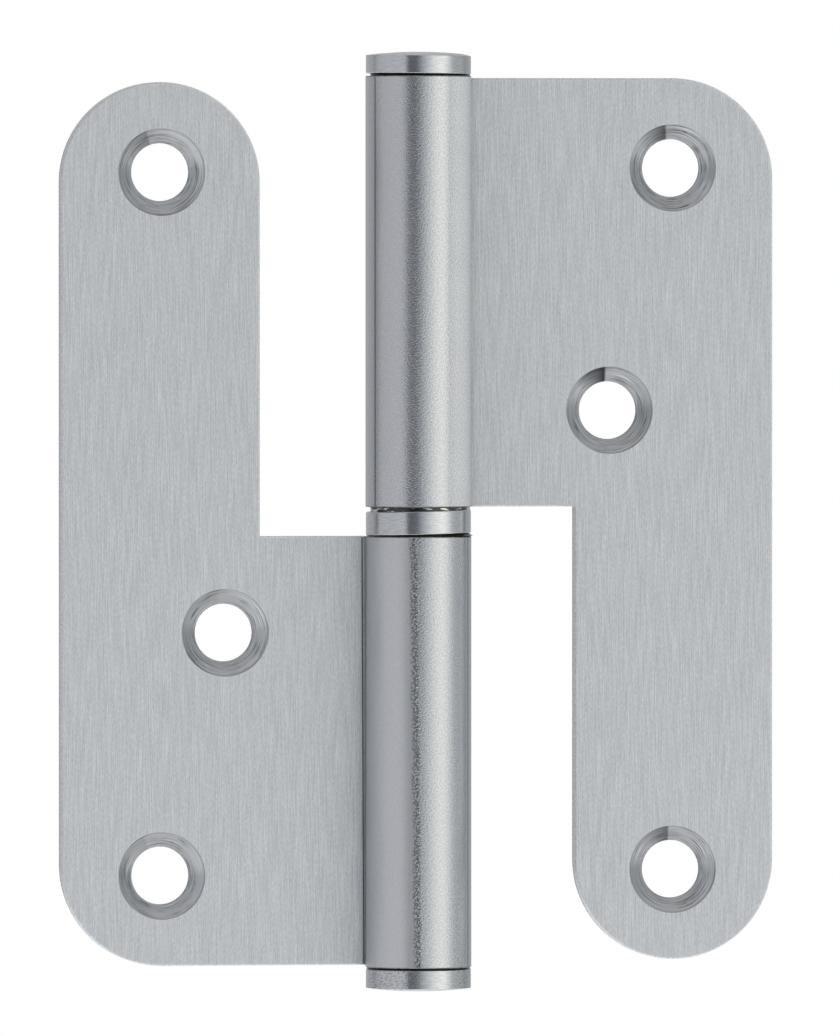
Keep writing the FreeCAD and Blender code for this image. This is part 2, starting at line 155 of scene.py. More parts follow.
def shape_with(piece, tree, values):
    """Runs a geometry tree on the piece with these named inputs."""
    modifier = piece.modifiers.new(tree.name, "NODES")
    modifier.node_group = tree
    for item in tree.interface.items_tree:
        if item.in_out == "INPUT" and item.name in values:
            modifier[item.identifier] = values[item.name]
    settle(piece)


def shade(piece, sharpest_degrees):
    """Smooth shading up to that angle, with the large faces kept flat."""
    mesh = piece.data
    mesh.shade_smooth()
    mesh.set_sharp_from_angle(angle=math.radians(sharpest_degrees))
    weighted = piece.modifiers.new("weighted_normals", "WEIGHTED_NORMAL")
    weighted.keep_sharp = True
    settle(piece)


# Materials


def steel_shader(name, colour, roughness, anisotropy):
    """A bare steel with its shader, the tangent across its tool marks and its grain map."""
    material = bpy.data.materials.new(name)
    material.use_nodes = True
    tree = material.node_tree
    tree.nodes.clear()
    tangent = add_node(tree, "ShaderNodeTangent", direction_type="UV_MAP", uv_map=GRAIN)
    shader = add_node(tree, "ShaderNodeBsdfPrincipled", {
        "Base Color": linear(colour),
        "Metallic": 1.0,
        "Roughness": roughness,
        "Anisotropic": anisotropy,
        "Tangent": tangent.outputs["Tangent"],
    })
    add_node(tree, "ShaderNodeOutputMaterial", {"Surface": shader.outputs["BSDF"]})
    grain = add_node(tree, "ShaderNodeUVMap", uv_map=GRAIN)
    return material, tree, shader, grain.outputs["UV"]


def marks(tree, grain, across, along, detail=2.0, offset=0.0):
    """Noise drawn out along the tool marks: their width and their length in metres. It is turned
    after it is scaled, so that the noise's own rows don't show."""
    stretched = add_node(tree, "ShaderNodeMapping", {
        "Vector": grain, "Location": (offset, offset, 0.0), "Rotation": (0.0, 0.0, MARKS_TURN),
        "Scale": (1 / across, 1 / along, 1.0),
    })
    noise = add_node(tree, "ShaderNodeTexNoise", {
        "Vector": stretched.outputs["Vector"], "Scale": 1.0, "Detail": detail, "Roughness": 0.6,
    }, noise_dimensions="2D")
    return noise.outputs["Fac"]


def blended(tree, pattern, dark, light, low=0.3, high=0.7):
    """A colour that follows a pattern from dark to light."""
    spread = add_node(tree, "ShaderNodeMapRange", {
        "Value": pattern, "From Min": low, "From Max": high, "To Min": 0.0, "To Max": 1.0,
    })
    mixed = add_node(tree, "ShaderNodeMix", {
        "Factor": spread.outputs["Result"], "A": linear(dark), "B": linear(light),
    }, data_type="RGBA")
    return mixed.outputs[2]


def brushed_stainless_sheet():
    """Belt-brushed stainless sheet: fine upright hairlines and a wide soft sideways gleam. Where the
    scuffed knuckle's lip comes down on it, a thin line of painted shade darkens the crevice."""
    material, tree, shader, grain = steel_shader("brushed_stainless_sheet", "#DEE0E3", 0.55, 0.85)
    # Hairlines are 0.02 mm wide on the real sheet, drawn at 0.1 mm so that they show
    long_lines = marks(tree, grain, 0.1 * MM, 6.0 * MM)
    short_lines = marks(tree, grain, 0.1 * MM, 0.5 * MM, offset=5.3)
    drifts = marks(tree, grain, 1.3 * MM, 60.0 * MM, offset=3.1)
    lines = add_node(tree, "ShaderNodeMix", {
        "Factor": 0.45, "A": long_lines, "B": short_lines,
    }, data_type="FLOAT")
    drawn = add_node(tree, "ShaderNodeMix", {
        "Factor": 0.06, "A": lines.outputs[0], "B": drifts,
    }, data_type="FLOAT")
    base = blended(tree, drawn.outputs[0], "#D2D5D9", "#F7F8F9", low=0.36, high=0.64)
    axes = add_node(tree, "ShaderNodeSeparateXYZ", {0: grain})
    course = add_node(tree, "ShaderNodeMapRange", {
        "Value": axes.outputs["Y"], "From Min": OUTER_END, "From Max": RING_END,
        "To Min": SEAM_LINE + SEAM_DRIFT, "To Max": SEAM_LINE,
    })
    from_seam = add_node(tree, "ShaderNodeMath", {
        0: axes.outputs["X"], 1: course.outputs["Result"],
    }, operation="SUBTRACT")
    beside = add_node(tree, "ShaderNodeMath", {0: from_seam.outputs[0]}, operation="ABSOLUTE")
    # painted shade: a thin near-black line along the seam where the knuckle's lip meets the sheet
    dark_line = add_node(tree, "ShaderNodeMapRange", {
        "Value": beside.outputs[0], "From Min": 0.05 * MM, "From Max": 0.12 * MM,
        "To Min": 0.88, "To Max": 0.0,
    })
    scuffed = add_node(tree, "ShaderNodeAttribute", attribute_name=SCUFFED)
    painted_joint_shade = add_node(tree, "ShaderNodeMath", {
        0: dark_line.outputs["Result"], 1: scuffed.outputs["Fac"],
    }, operation="MULTIPLY")
    steel = add_node(tree, "ShaderNodeMix", {
        "Factor": painted_joint_shade.outputs[0], "A": base, "B": linear("#24231E"),
    }, data_type="RGBA")
    tree.links.new(steel.outputs[2], shader.inputs["Base Color"])
    bump = add_node(tree, "ShaderNodeBump", {
        "Strength": 0.3, "Distance": 0.01 * MM, "Height": lines.outputs[0],
    })
    tree.links.new(bump.outputs["Normal"], shader.inputs["Normal"])
    return material


def past_line_down_roll(tree, grain, low_degrees, high_degrees, wander):
    """How far a point lies past a line along the knuckle, in metres along the bore. The line is
    given by its angle off the front at the outer end and at the ring, and by how far it wanders."""
    axes = add_node(tree, "ShaderNodeSeparateXYZ", {0: grain})
    course = add_node(tree, "ShaderNodeMapRange", {
        "Value": axes.outputs["Y"], "From Min": OUTER_END, "From Max": RING_END,
        "To Min": rolled_to(low_degrees) - wander / 2,
        "To Max": rolled_to(high_degrees) - wander / 2,
    })
    sway = marks(tree, grain, 90.0 * MM, 4.0 * MM, detail=1.0, offset=1.7)
    edge = add_node(tree, "ShaderNodeMath", {
        0: sway, 1: wander, 2: course.outputs["Result"],
    }, operation="MULTIPLY_ADD")
    return add_node(tree, "ShaderNodeMath", {
        0: axes.outputs["X"], 1: edge.outputs[0],
    }, operation="SUBTRACT").outputs[0]


def on_line(tree, past, width):
    """1 along the middle of such a line, falling to 0 at this width on either side."""
    distance = add_node(tree, "ShaderNodeMath", {0: past}, operation="ABSOLUTE")
    return add_node(tree, "ShaderNodeMapRange", {
        "Value": distance.outputs[0], "From Min": width * 0.4, "From Max": width,
        "To Min": 1.0, "To Max": 0.0,
    }).outputs["Result"]


def ground_stainless_roll():
    """The rolled knuckle, ground smooth: satin, with a fine speckle that breaks up its reflections.
    A thin dark line down it is a painted reflection of the tent's dark seam. On one knuckle a second
    pass left a scuffed line down the front, and on the other the side by the leaf has a painted sheen,
    its colour lightened towards white, and shades as a flat."""
    satin = 0.2
    material, tree, shader, grain = steel_shader("ground_stainless_roll", "#C9CBCD", satin, 0.0)
    faint = marks(tree, grain, 0.12 * MM, 0.5 * MM)
    base = blended(tree, faint, "#C0C2C5", "#C9CACC")
    speckle = marks(tree, grain, 0.13 * MM, 0.19 * MM, detail=1.0, offset=2.3)
    speckled = blended(tree, speckle, "#9FA1A5", "#E5E6E8", low=0.36, high=0.64)
    # Its colour is speckled from about the middle to +X, where it mirrors the brighter wall
    place = add_node(tree, "ShaderNodeTexCoord")
    sides = add_node(tree, "ShaderNodeSeparateXYZ", {0: place.outputs["Object"]})
    speckled_side = add_node(tree, "ShaderNodeMapRange", {
        "Value": sides.outputs["X"], "From Min": -1.7 * MM, "From Max": -0.7 * MM,
        "To Min": 0.0, "To Max": 0.25,
    })
    ground = add_node(tree, "ShaderNodeMix", {
        "Factor": speckled_side.outputs["Result"], "A": base, "B": speckled,
    }, data_type="RGBA")
    scuffed_leaf = add_node(tree, "ShaderNodeAttribute", attribute_name=SCUFFED)
    towards_leaf = past_line_down_roll(tree, grain, SHEEN_SIDE_FROM, SHEEN_SIDE_FROM, 0.1 * MM)
    # painted sheen: the side by the leaf is lightened towards white, a painted reflection of the leaf's
    # light
    sheen_ramp = add_node(tree, "ShaderNodeMapRange", {
        "Value": towards_leaf, "From Min": 0.0, "From Max": 0.7 * MM, "To Min": 0.0, "To Max": 0.1,
    })
    sheen_and_flat_leaf = add_node(tree, "ShaderNodeMath", {
        0: scuffed_leaf.outputs["Fac"], 1: -1.0, 2: 1.0,
    }, operation="MULTIPLY_ADD")
    gleam = add_node(tree, "ShaderNodeMath", {
        0: sheen_ramp.outputs["Result"], 1: sheen_and_flat_leaf.outputs[0],
    }, operation="MULTIPLY")
    brighter = add_node(tree, "ShaderNodeMix", {
        "Factor": gleam.outputs[0], "A": ground.outputs[2], "B": linear("#FFFFFF"),
    }, data_type="RGBA")
    flatter = add_node(tree, "ShaderNodeMath", {0: towards_leaf, 1: 0.0}, operation="MAXIMUM")
    squared = add_node(tree, "ShaderNodeMath", {
        0: flatter.outputs[0], 1: flatter.outputs[0],
    }, operation="MULTIPLY")
    raised = add_node(tree, "ShaderNodeMath", {
        0: squared.outputs[0], 1: sheen_and_flat_leaf.outputs[0],
    }, operation="MULTIPLY")
    # painted reflection: a thin dark grey line down the knuckle where the tent's dark seam reflects
    past_dark_reflection = past_line_down_roll(tree, grain, DARK_REFLECTION_AT, DARK_REFLECTION_AT, 0.02 * MM)
    reflection_lined = add_node(tree, "ShaderNodeMix", {
        "Factor": on_line(tree, past_dark_reflection, 0.11 * MM), "A": brighter.outputs[2],
        "B": linear("#73777C"),
    }, data_type="RGBA")
    past_scuff = past_line_down_roll(tree, grain, -8.0, -12.5, 0.25 * MM)
    scuffed = add_node(tree, "ShaderNodeMath", {
        0: on_line(tree, past_scuff, 0.42 * MM), 1: scuffed_leaf.outputs["Fac"],
    }, operation="MULTIPLY")
    pits = marks(tree, grain, 0.16 * MM, 0.3 * MM, detail=3.0, offset=8.2)
    pitted = add_node(tree, "ShaderNodeMapRange", {
        "Value": pits, "From Min": 0.38, "From Max": 0.54, "To Min": 0.0, "To Max": 0.75,
    })
    dark = add_node(tree, "ShaderNodeMath", {
        0: pitted.outputs["Result"], 1: scuffed.outputs[0],
    }, operation="MULTIPLY")
    steel = add_node(tree, "ShaderNodeMix", {
        "Factor": dark.outputs[0], "A": reflection_lined.outputs[2], "B": linear("#4A4D51"),
    }, data_type="RGBA")
    tree.links.new(steel.outputs[2], shader.inputs["Base Color"])
    depth = add_node(tree, "ShaderNodeMath", {
        0: scuffed.outputs[0], 1: 0.03 * MM, 2: 0.024 * MM,
    }, operation="MULTIPLY_ADD")
    peel = add_node(tree, "ShaderNodeMath", {
        0: speckle, 1: depth.outputs[0],
    }, operation="MULTIPLY")
    height = add_node(tree, "ShaderNodeMath", {
        0: raised.outputs[0], 1: FLATTER_SIDE, 2: peel.outputs[0],
    }, operation="MULTIPLY_ADD")
    bump = add_node(tree, "ShaderNodeBump", {
        "Strength": 1.0, "Distance": 1.0, "Height": height.outputs[0],
    })
    tree.links.new(bump.outputs["Normal"], shader.inputs["Normal"])
    second_pass = add_node(tree, "ShaderNodeMapRange", {
        "Value": past_scuff, "From Min": 0.0, "From Max": 0.02 * MM, "To Min": 0.0, "To Max": 0.1,
    })
    rougher = add_node(tree, "ShaderNodeMath", {
        0: second_pass.outputs["Result"], 1: scuffed_leaf.outputs["Fac"], 2: satin,
    }, operation="MULTIPLY_ADD")
    tree.links.new(rougher.outputs[0], shader.inputs["Roughness"])
    return material


def sheared_stainless_edge():
    """The stamped edge of the sheet: burnished by the punch at the front, and torn dull and dark
    in the back third."""
    material, tree, shader, grain = steel_shader("sheared_stainless_edge", "#CFD1D3", 0.4, 0.0)
    bites = marks(tree, grain, 0.25 * MM, 1.5 * MM)
    burnished = blended(tree, bites, "#C6C8CB", "#DEE0E1")
    torn = blended(tree, bites, "#6E7174", "#A2A4A7")
    axes = add_node(tree, "ShaderNodeSeparateXYZ", {0: grain})
    ragged = add_node(tree, "ShaderNodeMath", {
        0: bites, 1: -0.5 * MM, 2: axes.outputs["Y"],
    }, operation="MULTIPLY_ADD")
    break_line = add_node(tree, "ShaderNodeMapRange", {
        "Value": ragged.outputs[0], "From Min": 1.35 * MM, "From Max": 1.6 * MM,
    })
    base = add_node(tree, "ShaderNodeMix", {
        "Factor": break_line.outputs["Result"], "A": burnished, "B": torn,
    }, data_type="RGBA")
    tree.links.new(base.outputs[2], shader.inputs["Base Color"])
    return material


def countersunk_stainless():
    """The countersink's cut cone: fine turned rings in arcs, a darker rim, and a dark lap where the
    cutter stopped."""
    material, tree, shader, _ = steel_shader("countersunk_stainless", "#D6D8DA", 0.32, 0.4)
    spot = add_node(tree, "ShaderNodeAttribute", attribute_name=HOLE_SPOT)
    axes = add_node(tree, "ShaderNodeSeparateXYZ", {0: spot.outputs["Vector"]})
    flat = add_node(tree, "ShaderNodeCombineXYZ", {"X": axes.outputs["X"], "Y": axes.outputs["Y"]})
    radius = add_node(tree, "ShaderNodeVectorMath", {0: flat.outputs[0]}, operation="LENGTH")
    way = add_node(tree, "ShaderNodeVectorMath", {0: flat.outputs[0]}, operation="NORMALIZE")
    sides = add_node(tree, "ShaderNodeSeparateXYZ", {0: way.outputs[0]})

    def arcs(width, share, seed):
        """Noise drawn out round the hole: its width in metres and how fast it changes round it."""
        scaled = add_node(tree, "ShaderNodeMath", {
            0: radius.outputs["Value"], 1: 1 / width,
        }, operation="MULTIPLY")
        place = add_node(tree, "ShaderNodeCombineXYZ", {
            "X": scaled.outputs[0], "Y": sides.outputs["X"], "Z": sides.outputs["Y"],
        })
        drawn = add_node(tree, "ShaderNodeMapping", {
            "Vector": place.outputs[0], "Location": (seed, seed, seed), "Scale": (1.0, share, share),
        })
        return add_node(tree, "ShaderNodeTexNoise", {
            "Vector": drawn.outputs["Vector"], "W": axes.outputs["Z"], "Scale": 1.0, "Detail": 3.0,
            "Roughness": 0.6,
        }, noise_dimensions="4D").outputs["Fac"]

    rings = arcs(0.07 * MM, 1.0, 0.0)
    patches = arcs(1.0 * MM, 1.4, 4.4)
    clear = add_node(tree, "ShaderNodeMapRange", {
        "Value": patches, "From Min": 0.44, "From Max": 0.6, "To Min": 0.2, "To Max": 1.0,
    })
    cut = blended(tree, rings, "#5C5F63", "#EFF0F2", low=0.36, high=0.62)
    ringed = add_node(tree, "ShaderNodeMix", {
        "Factor": clear.outputs["Result"], "A": linear("#CFD1D4"), "B": cut,
    }, data_type="RGBA")
    by_rim = add_node(tree, "ShaderNodeMapRange", {
        "Value": radius.outputs["Value"], "From Min": RIM_RADIUS - 0.2 * MM,
        "From Max": RIM_RADIUS - 0.05 * MM, "To Min": 0.0, "To Max": 0.4,
    })
    base = add_node(tree, "ShaderNodeMix", {
        "Factor": by_rim.outputs["Result"], "A": ringed.outputs[2], "B": linear("#55585C"),
    }, data_type="RGBA")
    lap = add_node(tree, "ShaderNodeAttribute", attribute_name=LAP)
    lapped = add_node(tree, "ShaderNodeMix", {
        "Factor": lap.outputs["Fac"], "A": base.outputs[2], "B": linear("#303337"),
    }, data_type="RGBA")
    tree.links.new(lapped.outputs[2], shader.inputs["Base Color"])
    bump = add_node(tree, "ShaderNodeBump", {
        "Strength": 0.6, "Distance": 0.008 * MM, "Height": rings,
    })
    tree.links.new(bump.outputs["Normal"], shader.inputs["Normal"])
    return material


def turned_stainless():
    """Turned bar stock: faint rings round the axis, which keep upright reflections crisp. Where it
    meets the next piece it is painted near-black as shade, with painted glints of light in places.
    At the hinge's low end it has small dark pits, mostly at the sides."""
    material, tree, shader, grain = steel_shader("turned_stainless", "#C9CBCD", 0.1, 0.3)
    rings = marks(tree, grain, 0.12 * MM, 1.2 * MM)
    specks = marks(tree, grain, 0.14 * MM, 0.16 * MM, offset=6.1)
    steel = blended(tree, rings, "#C0C2C5", "#D4D5D7", low=0.32, high=0.68)
    film = marks(tree, grain, 0.6 * MM, 1.7 * MM, detail=4.0, offset=2.9)
    # painted shade in the joints: near-black, with painted glints of light where it is not solid
    joint_shade = add_node(tree, "ShaderNodeAttribute", attribute_name=JOINT_SHADE)
    thin = add_node(tree, "ShaderNodeMapRange", {
        "Value": joint_shade.outputs["Fac"], "From Min": GLINTING_SHADE, "From Max": 1.0,
        "To Min": 1.0, "To Max": 0.0,
    })
    glint_patches = add_node(tree, "ShaderNodeMapRange", {
        "Value": film, "From Min": 0.54, "From Max": 0.6, "To Min": 0.0, "To Max": 1.0,
    })
    shining = add_node(tree, "ShaderNodeMath", {
        0: thin.outputs["Result"], 1: glint_patches.outputs["Result"],
    }, operation="MULTIPLY")
    # the painted joint shade's colour: near-black, or light cream where a painted glint shows
    grease = add_node(tree, "ShaderNodeMix", {
        "Factor": shining.outputs[0], "A": linear("#211F1A"), "B": linear("#D3D0C6"),
    }, data_type="RGBA")
    place = add_node(tree, "ShaderNodeTexCoord")
    axes = add_node(tree, "ShaderNodeSeparateXYZ", {0: place.outputs["Object"]})
    low_end = add_node(tree, "ShaderNodeMapRange", {
        "Value": axes.outputs["Z"], "From Min": -30.0 * MM, "From Max": -50.0 * MM,
        "To Min": 0.0, "To Max": 0.7,
    })
    clean_middle = 1.3 * MM
    aside = add_node(tree, "ShaderNodeMath", {
        0: axes.outputs["X"], 1: clean_middle,
    }, operation="SUBTRACT")
    from_middle = add_node(tree, "ShaderNodeMath", {0: aside.outputs[0]}, operation="ABSOLUTE")
    at_sides = add_node(tree, "ShaderNodeMapRange", {
        "Value": from_middle.outputs[0], "From Min": 2.8 * MM, "From Max": 3.6 * MM,
        "To Min": 0.1, "To Max": 1.0,
    })
    share = add_node(tree, "ShaderNodeMath", {
        0: low_end.outputs["Result"], 1: at_sides.outputs["Result"],
    }, operation="MULTIPLY")
    pits = marks(tree, grain, 0.2 * MM, 0.4 * MM, detail=3.0, offset=4.7)
    pitted = add_node(tree, "ShaderNodeMapRange", {
        "Value": pits, "From Min": 0.56, "From Max": 0.66, "To Min": 0.0, "To Max": 1.0,
    })
    spots = add_node(tree, "ShaderNodeMath", {
        0: pitted.outputs["Result"], 1: share.outputs[0],
    }, operation="MULTIPLY")
    spotted = add_node(tree, "ShaderNodeMix", {
        "Factor": spots.outputs[0], "A": steel, "B": linear("#5C5F63"),
    }, data_type="RGBA")
    base = add_node(tree, "ShaderNodeMix", {
        "Factor": joint_shade.outputs["Fac"], "A": spotted.outputs[2], "B": grease.outputs[2],
    }, data_type="RGBA")
    tree.links.new(base.outputs[2], shader.inputs["Base Color"])
    bump = add_node(tree, "ShaderNodeBump", {
        "Strength": 1.0, "Distance": 0.01 * MM, "Height": specks,
    })
    tree.links.new(bump.outputs["Normal"], shader.inputs["Normal"])
    return material


def drawn_steel_pin():
    """The bright pin, with drawing lines down its length under a thin, uneven film of grease."""
    material, tree, shader, grain = steel_shader("drawn_steel_pin", "#BCBCBA", 0.22, 0.0)
    lines = marks(tree, grain, 14.0 * MM, 0.15 * MM)
    steel = blended(tree, lines, "#B2B2B0", "#C8C8C6")
    film = marks(tree, grain, 5.0 * MM, 3.0 * MM, detail=3.0, offset=1.3)
    greasy = add_node(tree, "ShaderNodeMapRange", {
        "Value": film, "From Min": 0.45, "From Max": 0.7, "To Min": 0.0, "To Max": 0.6,
    })
    base = add_node(tree, "ShaderNodeMix", {
        "Factor": greasy.outputs["Result"], "A": steel, "B": linear("#86837A"),
    }, data_type="RGBA")
    tree.links.new(base.outputs[2], shader.inputs["Base Color"])
    return material


# Stamped and rolled leaves


def edge_section(front, back, inset=0.0):
    """The sheet's cut edge as (distance in from the outline, depth) pairs, front to back."""
    steps = [TURN / 4 * step / 4 for step in range(5)]
    front = max(front - inset, 0.0)
    back = max(back - inset, 0.0)
    return [
        (inset + front * (1 - math.sin(angle)), inset + front * (1 - math.cos(angle)))
        for angle in steps
    ] + [
        (inset + back * (1 - math.cos(angle)), SHEET - inset - back * (1 - math.sin(angle)))
        for angle in steps
    ]


def leaf_outline():
    """The flat leaf's outline from the neck's low corner to its high one, each point with the
    way that the outline moves when it is offset outwards."""
    outline = [(Vector((-NECK_START, LEAF_BOTTOM)), Vector((0, -1)))]
    low_centre = Vector((CORNER_RADIUS - LEAF_REACH, LEAF_BOTTOM + CORNER_RADIUS))
    high_centre = Vector((LEG_WIDTH / 2 - LEAF_REACH, LEG_TOP - LEG_WIDTH / 2))
    arcs = (
        (low_centre, CORNER_RADIUS, 270, 180, 28),
        (high_centre, LEG_WIDTH / 2, 180, 0, 56),
    )
    for centre, radius, first, last, steps in arcs:
        for step in range(steps + 1):
            angle = math.radians(first + (last - first) * step / steps)
            way = Vector((math.cos(angle), math.sin(angle)))
            outline.append((centre + radius * way, way))
    outline.append((Vector((LEG_WIDTH - LEAF_REACH, RING_END)), Vector((1, 1))))
    outline.append((Vector((-NECK_START, RING_END)), Vector((0, 1))))
    return outline


def roll_columns():
    """Where the blank is divided beyond the leaf: distances from the neck's start."""
    crank = CRANK_RADIUS * CRANK_ANGLE
    neck = neck_length()
    roll = BORE_RADIUS * ROLL_ANGLE - TIP_ROUNDING
    columns = [crank * step / CRANK_STEPS for step in range(CRANK_STEPS + 1)]
    columns += [crank + neck * share for share in (0.5, 0.8, 0.9)]
    columns += [crank + neck + roll * step / ROLL_STEPS for step in range(ROLL_STEPS + 1)]
    return columns


def neck_length():
    """The straight stretch between the crank's bend and the roll."""
    reach = NECK_START - CRANK_RADIUS * math.sin(CRANK_ANGLE)
    return (reach - BORE_RADIUS * math.sin(CRANK_ANGLE)) / math.cos(CRANK_ANGLE)


def rolled_to(front_degrees):
    """The place on the blank that the roll brings to this angle off the knuckle's front."""
    start = CRANK_RADIUS * CRANK_ANGLE + neck_length() - NECK_START
    return start + BORE_RADIUS * (math.radians(180 - front_degrees) + CRANK_ANGLE)


def leaf_blank(name, laps, scuffed):
    """The flat stamping, before it is rolled; laps holds each hole's mark angle and strength, and
    scuffed is 1 or 0."""
    mesh = bpy.data.meshes.new(name)
    work = bmesh.new()
    grain = work.loops.layers.uv.new(GRAIN)
    lap_shade = work.loops.layers.float.new(LAP)
    finish = work.faces.layers.int.new(FINISH)
    hole_spot = work.verts.layers.float_vector.new(HOLE_SPOT)
    spots = {}

    def spot(along, depth, up):
        key = (round(along / MM, 4), round(depth / MM, 4), round(up / MM, 4))
        if key not in spots:
            spots[key] = work.verts.new((along, depth, up))
        return spots[key]

    def face(verts, kind, uvs, shades=None):
        made = work.faces.new(verts)
        made[finish] = kind
        for index, loop in enumerate(made.loops):
            loop[grain].uv = uvs[index]
            if shades is not None:
                loop[lap_shade] = shades[index]

    def strip(first, second, kind, first_uvs, second_uvs):
        """Quads between two rows of spots."""
        for index in range(len(first) - 1):
            corners = (first[index], first[index + 1], second[index + 1], second[index])
            if len(set(corners)) < 4:
                continue
            face(corners, kind, (
                first_uvs[index], first_uvs[index + 1], second_uvs[index + 1], second_uvs[index],
            ))

    # The leaf's cut edge, all the way round
    outline = leaf_outline()
    section = edge_section(FRONT_ROUNDING, BACK_ROUNDING)
    rows = []
    travelled = 0.0
    for index, (place, outwards) in enumerate(outline):
        if index:
            travelled += (place - outline[index - 1][0]).length
        inset_places = [place - outwards * inset for inset, _ in section]
        row = [
            spot(inset_place.x, depth, inset_place.y)
            for inset_place, (_, depth) in zip(inset_places, section)
        ]
        rows.append((row, [(travelled, depth) for _, depth in section]))
    for (first, first_uvs), (second, second_uvs) in zip(rows, rows[1:]):
        strip(first, second, SHEARED, first_uvs, second_uvs)

    # The holes: a small break at the rim, the cone, the land and the back's break
    depth = RIM_RADIUS - HOLE_RADIUS
    hole_profile = [
        (RIM_RADIUS + 0.06 * MM, 0.0),
        (RIM_RADIUS, 0.02 * MM),
        (RIM_RADIUS - 0.08 * MM, 0.08 * MM),
        (HOLE_RADIUS + 0.04 * MM, depth - 0.04 * MM),
        (HOLE_RADIUS, depth + 0.04 * MM),
        (HOLE_RADIUS, SHEET - BACK_ROUNDING),
        (HOLE_RADIUS + BACK_ROUNDING, SHEET),
    ]
    cut_rows = 3
    hole_numbers_apart = 3.7
    centres = (
        (HOLE_LINE, LEAF_MIDDLE + HOLE_PITCH / 2),
        (HOLE_LINE + MIDDLE_HOLE_INSET, LEAF_MIDDLE - MIDDLE_HOLE_DROP),
        (HOLE_LINE, LEAF_MIDDLE - HOLE_PITCH / 2),
    )
    steps = 96
    front_rims = []
    back_rims = []
    for (along, up), (mark, strength) in zip(centres, laps):
        circles = []
        for radius, deep in hole_profile:
            angles = [TURN * step / steps for step in range(steps)]
            circle = [
                spot(along + radius * math.cos(angle), deep, up + radius * math.sin(angle))
                for angle in angles
            ]
            for vert, angle in zip(circle, angles):
                vert[hole_spot] = (
                    radius * math.cos(angle), radius * math.sin(angle), hole_numbers_apart * mark,
                )
            circles.append(circle)
        front_rims.append(circles[0])
        back_rims.append(circles[-1])
        for level in range(len(circles) - 1):
            kind = COUNTERSUNK if level < cut_rows else SHEARED
            for step in range(steps):
                following = (step + 1) % steps
                corners = (
                    circles[level][step], circles[level][following],
                    circles[level + 1][following], circles[level + 1][step],
                )
                ways = (
                    (level, step), (level, step + 1), (level + 1, step + 1), (level + 1, step),
                )
                uvs = []
                shades = []
                for row, count in ways:
                    radius, deep = hole_profile[row]
                    round_the_hole = along + TURN * count / steps * RIM_RADIUS
                    if kind == COUNTERSUNK:
                        uvs.append((up + (RIM_RADIUS - radius) * math.sqrt(2), round_the_hole))
                    else:
                        uvs.append((round_the_hole, deep))
                    behind = (count / steps - mark / 360) % 1.0
                    shades.append(strength * max(0.0, 1 - behind / LAP_FADE))
                face(corners, kind, uvs, shades)

    # The crank, neck and roll: one ring of the sheet's section after another
    def sheet_ring(distance, inset=0.0):
        rolled = distance > CRANK_RADIUS * CRANK_ANGLE + neck_length() * 0.85
        low = OUTER_END if rolled else LEAF_BOTTOM
        edges = edge_section(
            KNUCKLE_ROUNDING if rolled else FRONT_ROUNDING,
            KNUCKLE_ROUNDING if rolled else BACK_ROUNDING, inset,
        )
        along = distance - NECK_START
        low_side = [(low + into, deep) for into, deep in edges]
        high_side = [(RING_END - into, deep) for into, deep in reversed(edges)]
        return [(along, deep, up) for up, deep in low_side + high_side]

    rings = [sheet_ring(distance) for distance in roll_columns()]
    last = roll_columns()[-1]
    for step in range(1, 5):
        angle = TURN / 4 * step / 4
        rings.append(sheet_ring(
            last + TIP_ROUNDING * math.sin(angle), TIP_ROUNDING * (1 - math.cos(angle))
        ))
    edge_count = len(section)
    for number, (first, second) in enumerate(zip(rings, rings[1:])):
        for side in range(len(first)):
            following = (side + 1) % len(first)
            places = (first[side], first[following], second[following], second[side])
            corners = [spot(*place) for place in places]
            if len(set(corners)) < 4:
                continue
            flat = side in (edge_count - 1, 2 * edge_count - 1)
            outer = GROUND if number > CRANK_STEPS else BRUSHED
            kind = outer if flat else SHEARED
            face(corners, kind, [(place[0], place[2] if flat else place[1]) for place in places])
    tip = [spot(*place) for place in rings[-1]]
    tip = [vert for index, vert in enumerate(tip) if vert not in tip[:index]]
    face(tip, SHEARED, [(vert.co.z, vert.co.y) for vert in tip])

    # The flat front and back, with their holes left open
    work.verts.index_update()
    for level, rims in ((0, front_rims), (-1, back_rims)):
        loops = [[row[level] for row, _ in rows]] + rims
        edges = []
        for loop in loops:
            for first, second in zip(loop, loop[1:] + loop[:1]):
                edges.append(work.edges.get((first, second)) or work.edges.new((first, second)))
        filled = bmesh.ops.triangle_fill(work, use_beauty=True, edges=edges)
        for made in filled["geom"]:
            if isinstance(made, bmesh.types.BMFace):
                made[finish] = BRUSHED
                for loop in made.loops:
                    loop[grain].uv = (loop.vert.co.x, loop.vert.co.z)

    run = work.verts.layers.float.new(RUN)
    scuffed_leaf = work.verts.layers.float.new(SCUFFED)
    for vert in work.verts:
        vert[run] = vert.co.x
        vert[scuffed_leaf] = scuffed
    bmesh.ops.recalc_face_normals(work, faces=work.faces)
    work.to_mesh(mesh)
    work.free()
    return mesh


